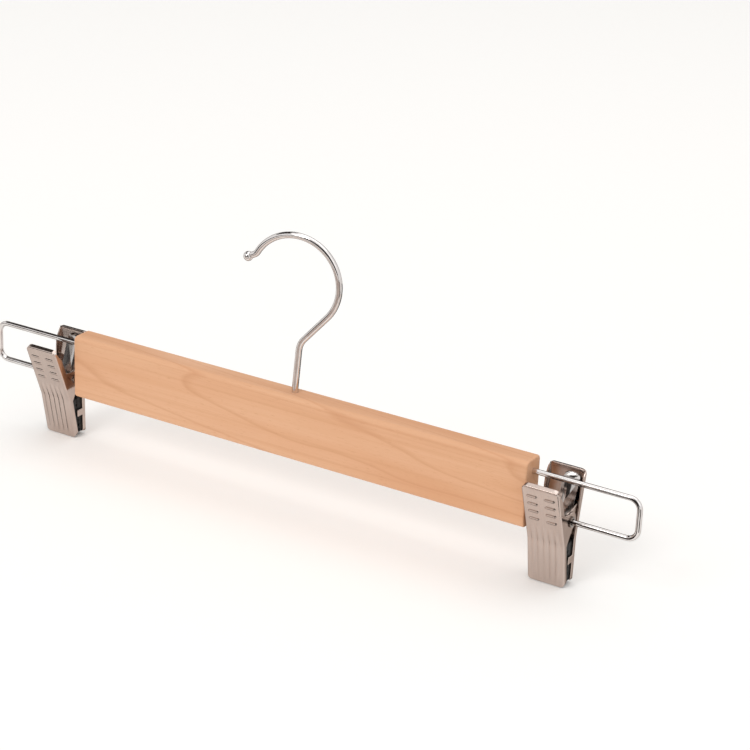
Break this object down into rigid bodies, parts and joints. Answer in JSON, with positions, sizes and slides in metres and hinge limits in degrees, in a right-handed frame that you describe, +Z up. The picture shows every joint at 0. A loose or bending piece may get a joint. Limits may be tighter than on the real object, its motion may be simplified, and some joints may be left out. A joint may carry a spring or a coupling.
{
  "type": "skirt hanger",
  "caption": "Slim wooden bar hanger with a swivel wire hook and a sliding, sprung metal clip with rubber pads on the wire loop at each end, for holding skirts or trousers.",
  "frame": {"origin": "on the swivel axis at the inside top of the hook's eye, where the hook sits on a rail", "axes": "+X along the bar to the right as seen from the front, +Y to the back, +Z up along the swivel axis"},
  "size_m": [0.356, 0.0285, 0.1346],
  "materials": {
    "wood": "clear satin lacquer over pale, fine-grained hardwood",
    "hook_wire": "polished plated steel wire",
    "loop_wire": "polished plated steel wire",
    "washer": "plated",
    "clip_plate": "satin nickel plate on stamped sheet",
    "sleeve": "plated",
    "spring_steel": "plain hardened strip",
    "pad_rubber": "matt moulded rubber"
  },
  "bodies": {
    "hook": {"hook": "hook_wire"},
    "bar": {"bar": "wood", "hook_washer": "washer", "left_wire_loop": "loop_wire", "right_wire_loop": "loop_wire"},
    "left_sleeve": {"left_pivot_sleeve": "sleeve"},
    "left_spring": {"left_leaf_spring": "spring_steel"},
    "left_front_jaw": {"left_front_plate": "clip_plate", "left_front_pad": "pad_rubber"},
    "left_rear_jaw": {"left_rear_plate": "clip_plate", "left_rear_pad": "pad_rubber"},
    "right_sleeve": {"right_pivot_sleeve": "sleeve"},
    "right_spring": {"right_leaf_spring": "spring_steel"},
    "right_front_jaw": {"right_front_plate": "clip_plate", "right_front_pad": "pad_rubber"},
    "right_rear_jaw": {"right_rear_plate": "clip_plate", "right_rear_pad": "pad_rubber"}
  },
  "joints": [
    {"name": "bar_swivel", "type": "hinge", "parent": "hook", "child": "bar", "pos_m": [0, 0, -0.0745], "axis": [0, 0, 1], "continuous": true},
    {"name": "left_clip_slide", "type": "slide", "parent": "bar", "child": "left_sleeve", "axis": [1, 0, 0], "range_m": [-0.0236, 0.003]},
    {"name": "left_clip_swing", "type": "hinge", "parent": "left_sleeve", "child": "left_spring", "pos_m": [-0.13805, 0, -0.0996], "axis": [1, 0, 0], "range_deg": [-16.7, 3.3]},
    {"name": "left_front_jaw_open", "type": "hinge", "parent": "left_spring", "child": "left_front_jaw", "pos_m": [-0.13805, 0, -0.0996], "axis": [-1, 0, 0], "range_deg": [0, 13], "stiffness_Nm_per_rad": 0.5, "springref_deg": -17.19, "deforming": ["left_leaf_spring"]},
    {"name": "left_rear_jaw_open", "type": "hinge", "parent": "left_spring", "child": "left_rear_jaw", "pos_m": [-0.13805, 0, -0.0996], "axis": [1, 0, 0], "range_deg": [0, 13], "stiffness_Nm_per_rad": 0.5, "springref_deg": -17.19, "deforming": ["left_leaf_spring"]},
    {"name": "right_clip_slide", "type": "slide", "parent": "bar", "child": "right_sleeve", "axis": [1, 0, 0], "range_m": [-0.001, 0.0256]},
    {"name": "right_clip_swing", "type": "hinge", "parent": "right_sleeve", "child": "right_spring", "pos_m": [0.13605, 0, -0.0996], "axis": [1, 0, 0], "range_deg": [-14, 6]},
    {"name": "right_front_jaw_open", "type": "hinge", "parent": "right_spring", "child": "right_front_jaw", "pos_m": [0.13605, 0, -0.0996], "axis": [-1, 0, 0], "range_deg": [0, 13], "stiffness_Nm_per_rad": 0.5, "springref_deg": -17.19, "deforming": ["right_leaf_spring"]},
    {"name": "right_rear_jaw_open", "type": "hinge", "parent": "right_spring", "child": "right_rear_jaw", "pos_m": [0.13605, 0, -0.0996], "axis": [1, 0, 0], "range_deg": [0, 13], "stiffness_Nm_per_rad": 0.5, "springref_deg": -17.19, "deforming": ["right_leaf_spring"]}
  ],
  "couplings": [
    {"joint": "left_rear_jaw_open", "follows": "left_front_jaw_open", "ratio": 1},
    {"joint": "right_rear_jaw_open", "follows": "right_front_jaw_open", "ratio": 1}
  ]
}
